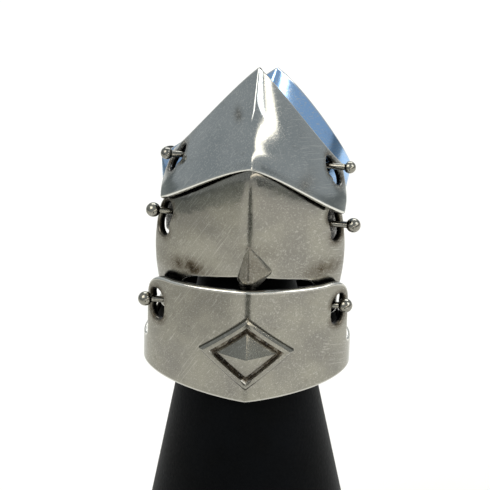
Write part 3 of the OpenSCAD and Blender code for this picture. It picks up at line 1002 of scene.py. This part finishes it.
def mattBlack(name, look):
    # moulded ABS with a fine spark-eroded grain: matt, and greyer where it turns away
    material, add = newMaterial(name)
    space = add("ShaderNodeTexCoord", output="Object")
    grain = add("ShaderNodeTexNoise", {
        "Vector": space, "Scale": 1 / (look["grainSize"] * mm), "Detail": 2.0})
    drift = add("ShaderNodeTexNoise", {
        "Vector": space, "Scale": 1 / (look["driftSize"] * mm), "Detail": 3.0})
    toned = add("ShaderNodeMapRange", {"Value": drift, "From Min": 0.35, "From Max": 0.7})
    tone = add("ShaderNodeMix", {0: toned, 6: linear(look["colour"]), 7: linear(look["worn"])},
               output=2, data_type="RGBA")
    rough = add("ShaderNodeMapRange", {
        "Value": grain, "From Min": 0.2, "From Max": 0.8,
        "To Min": look["roughness"] - 0.1, "To Max": look["roughness"] + 0.1})
    bump = add("ShaderNodeBump", {
        "Height": grain, "Strength": 0.5, "Distance": look["grainDepth"] * mm})
    surface = add("ShaderNodeBsdfPrincipled", {
        "Base Color": tone, "Roughness": rough, "Normal": bump,
        "Specular IOR Level": look["specular"],
        "Sheen Weight": look["sheen"], "Sheen Roughness": 0.35})
    add("ShaderNodeOutputMaterial", {"Surface": surface})
    return material


def dress(piece, material):
    piece.data.materials.clear()
    piece.data.materials.append(material)


silver = agedSilver("handPolishedSilver", silverLook)
brightSilver = agedSilver("mirrorPolishedSilver", brightLook)
for piece in [fingerBand, middlePlate, lozengeBoss, footKeel] + ballPins:
    dress(piece, silver)
for piece in (upperPlate, tipBand):
    dress(piece, brightSilver)
dress(displayCone, mattBlack("mattBlackAbs", coneLook))
print("materials made")

studio = {
    "floorSize": 3000.0, "floorCells": 23, "floorColour": "#f6f5f2",
    "sky": "#b4b9bc", "skyStrength": 1.0,
    # felt mats on the floor that the metal mirrors: near and far edge in mm, first and
    # last direction from the front to +X in degrees, colour
    "mats": {
        "frontMat": (80.0, 420.0, -9.0, 9.0, "#6b6d6a"),
        "leftMat": (235.0, 1450.0, -135.0, -24.0, "#9a9e9c"),
        "paleMat": (96.0, 235.0, -135.0, -24.0, "#dcdbd6"),
        "rightMat": (430.0, 1450.0, 22.0, 125.0, "#8c908f"),
    },
    "matHeight": 0.5, "matCells": (24, 8),   # cells round and outwards
    # lamps: place in mm, size in mm, how the long side runs, watts, colour
    "lamps": {
        "keyLamp": ((-300, -250, 520), (400, 400), (1, 0, 0), 1.6, "#fff8ee"),
        "fillLamp": ((420, -120, 420), (300, 300), (1, 0, 0), 0.9, "#ffffff"),
        "rearLamp": ((60, 420, 480), (500, 300), (1, 0, 0), 1.6, "#ffffff"),
        "stripLamp": ((217, -192, 147), (800, 34), (614, 765, 199), 0.26, "#fff3e2"),
    },
    "aim": (0, 0, 60),
}


def stagePiece(name, points, across, colour):
    # a felt surface from rows of points, each row with one more point than across
    rows, n = len(points) // (across + 1) - 1, across + 1
    faces = [(j * n + i, j * n + i + 1, (j + 1) * n + i + 1, (j + 1) * n + i)
             for j in range(rows) for i in range(across)]
    piece = buildMesh(name, points, faces)
    material, add = newMaterial(name + "Felt")
    surface = add("ShaderNodeBsdfPrincipled", {"Base Color": linear(colour), "Roughness": 0.9})
    add("ShaderNodeOutputMaterial", {"Surface": surface})
    dress(piece, material)


def makeFloor(spec):
    half, cells = spec["floorSize"] / 2, spec["floorCells"]
    side = np.linspace(-half, half, cells + 1)
    points = [(x, y, 0.0) for y in side for x in side]
    stagePiece("studioFloor", points, cells, spec["floorColour"])


def makeMats(spec):
    # each mat is a sector of the floor round the ring
    across, rows = spec["matCells"]
    for name, (near, distant, start, end, colour) in spec["mats"].items():
        turns = np.radians(np.linspace(start, end, across + 1))
        points = [(r * math.sin(a), -r * math.cos(a), spec["matHeight"])
                  for r in np.linspace(near, distant, rows + 1) for a in turns]
        stagePiece(name, points, across, colour)


def makeLamps(spec):
    for name, (place, size, run, power, colour) in spec["lamps"].items():
        data = bpy.data.lights.new(name, "AREA")
        data.shape, data.size, data.size_y = "RECTANGLE", size[0] * mm, size[1] * mm
        data.energy, data.color = power, linear(colour)[:3]
        lamp = bpy.data.objects.new(name, data)
        bpy.context.scene.collection.objects.link(lamp)
        away = (Vector(place) - Vector(spec["aim"])).normalized()
        across = (Vector(run) - Vector(run).dot(away) * away).normalized()
        turn = Matrix((across, away.cross(across).normalized(), away)).transposed()
        lamp.matrix_world = Matrix.Translation(Vector(place) * mm) @ turn.to_4x4()


def makeSky(spec):
    world = bpy.data.worlds.new("studioAir")
    bpy.context.scene.world = world
    world.use_nodes = True
    sky = world.node_tree.nodes["Background"]
    sky.inputs["Color"].default_value = linear(spec["sky"])
    sky.inputs["Strength"].default_value = spec["skyStrength"]


makeFloor(studio)
makeMats(studio)
makeLamps(studio)
makeSky(studio)
bpy.context.scene.view_settings.view_transform = "Standard"
print("floor and light set")
